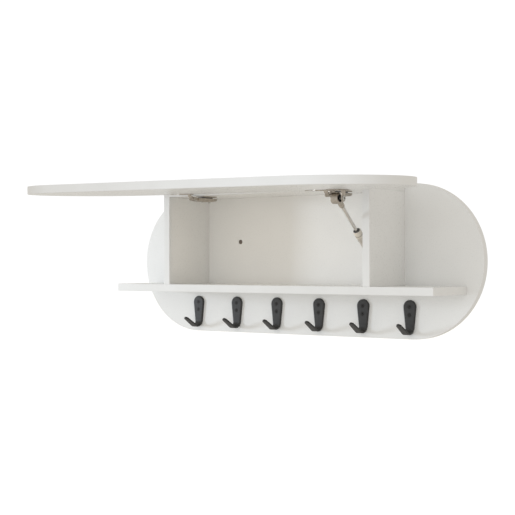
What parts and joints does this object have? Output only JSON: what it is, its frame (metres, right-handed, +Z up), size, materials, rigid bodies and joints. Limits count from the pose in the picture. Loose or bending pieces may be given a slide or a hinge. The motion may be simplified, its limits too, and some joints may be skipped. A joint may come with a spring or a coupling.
{
  "type": "wall hook rack with flip-up cabinet",
  "caption": "Pill-shaped white wall panel with a shallow flip-up-door cabinet on a shelf plank and a row of black coat hooks below.",
  "frame": {"origin": "centre of the back panel's rear face, on the wall", "axes": "+X along the rack to the right as seen from the room, +Y into the wall, +Z up"},
  "size_m": [0.8202, 0.4517, 0.3002],
  "materials": {
    "white_board": "white melamine-faced board, satin",
    "black_hook": "black powder coat, satin",
    "black_screw": "black oxide, satin",
    "hinge_nickel": "nickel-plated pressed steel",
    "stay_nickel": "nickel-plated steel",
    "zinc_screw": "zinc-plated steel",
    "rod_chrome": "polished chrome",
    "tube_paint": "silver-grey lacquered steel tube",
    "brown_cap": "moulded plastic"
  },
  "bodies": {
    "cabinet": {"back_panel": "white_board", "shelf": "white_board", "top_panel": "white_board", "left_side_panel": "white_board", "right_side_panel": "white_board", "hook_1": "black_hook", "hook_2": "black_hook", "hook_3": "black_hook", "hook_4": "black_hook", "hook_5": "black_hook", "hook_6": "black_hook", "hook_1_upper_screw": "black_screw", "hook_1_lower_screw": "black_screw", "hook_2_upper_screw": "black_screw", "hook_2_lower_screw": "black_screw", "hook_3_upper_screw": "black_screw", "hook_3_lower_screw": "black_screw", "hook_4_upper_screw": "black_screw", "hook_4_lower_screw": "black_screw", "hook_5_upper_screw": "black_screw", "hook_5_lower_screw": "black_screw", "hook_6_upper_screw": "black_screw", "hook_6_lower_screw": "black_screw", "shelf_screw_left": "zinc_screw", "shelf_screw_right": "zinc_screw", "side_screw_left": "zinc_screw", "side_screw_right": "zinc_screw", "top_screw_left": "zinc_screw", "top_screw_right": "zinc_screw", "wall_cap_left": "brown_cap", "wall_cap_right": "brown_cap", "left_hinge_plate": "hinge_nickel", "left_hinge_arm": "hinge_nickel", "left_hinge_fixing_screw": "zinc_screw", "left_hinge_adjusting_screw": "zinc_screw", "right_hinge_plate": "hinge_nickel", "right_hinge_arm": "hinge_nickel", "right_hinge_fixing_screw": "zinc_screw", "right_hinge_adjusting_screw": "zinc_screw", "stay_panel_bracket": "stay_nickel", "stay_lower_stud": "zinc_screw", "stay_panel_bracket_screw_1": "zinc_screw", "stay_panel_bracket_screw_2": "zinc_screw"},
    "door": {"door": "white_board", "left_hinge_cup": "hinge_nickel", "right_hinge_cup": "hinge_nickel", "left_hinge_cup_screw_1": "zinc_screw", "left_hinge_cup_screw_2": "zinc_screw", "right_hinge_cup_screw_1": "zinc_screw", "right_hinge_cup_screw_2": "zinc_screw", "stay_door_bracket": "stay_nickel", "stay_door_bracket_screw_1": "zinc_screw", "stay_door_bracket_screw_2": "zinc_screw", "stay_upper_pin": "zinc_screw"},
    "hinge_links": {"left_hinge_link": "hinge_nickel", "right_hinge_link": "hinge_nickel"},
    "stay_rod": {"stay_rod_end": "stay_nickel", "stay_rod": "rod_chrome"},
    "stay_tube": {"stay_tube": "tube_paint", "stay_tube_collar": "stay_nickel"}
  },
  "joints": [
    {"name": "door_swing", "type": "hinge", "parent": "cabinet", "child": "door", "pos_m": [0, -0.1585, 0.1453], "axis": [0.9999, 0, -0.0131], "range_deg": [0, 88.3]},
    {"name": "hinge_link_swing", "type": "hinge", "parent": "cabinet", "child": "hinge_links", "pos_m": [0, -0.152, 0.125], "axis": [0.9999, 0, -0.0131], "range_deg": [-45.8, 0]},
    {"name": "stay_rod_pivot", "type": "hinge", "parent": "door", "child": "stay_rod", "pos_m": [0.208, -0.193, 0.1137], "axis": [0.9999, 0, -0.0131], "range_deg": [-103.5, 0]},
    {"name": "stay_tube_slide", "type": "slide", "parent": "stay_rod", "child": "stay_tube", "axis": [0, -0.7524, 0.6587], "range_m": [0, 0.0464]}
  ],
  "couplings": [
    {"joint": "hinge_link_swing", "follows": "door_swing", "ratio": -0.518},
    {"joint": "stay_rod_pivot", "follows": "door_swing", "ratio": -1.1714},
    {"joint": "stay_tube_slide", "follows": "door_swing", "m_per_rad": 0.030079}
  ]
}
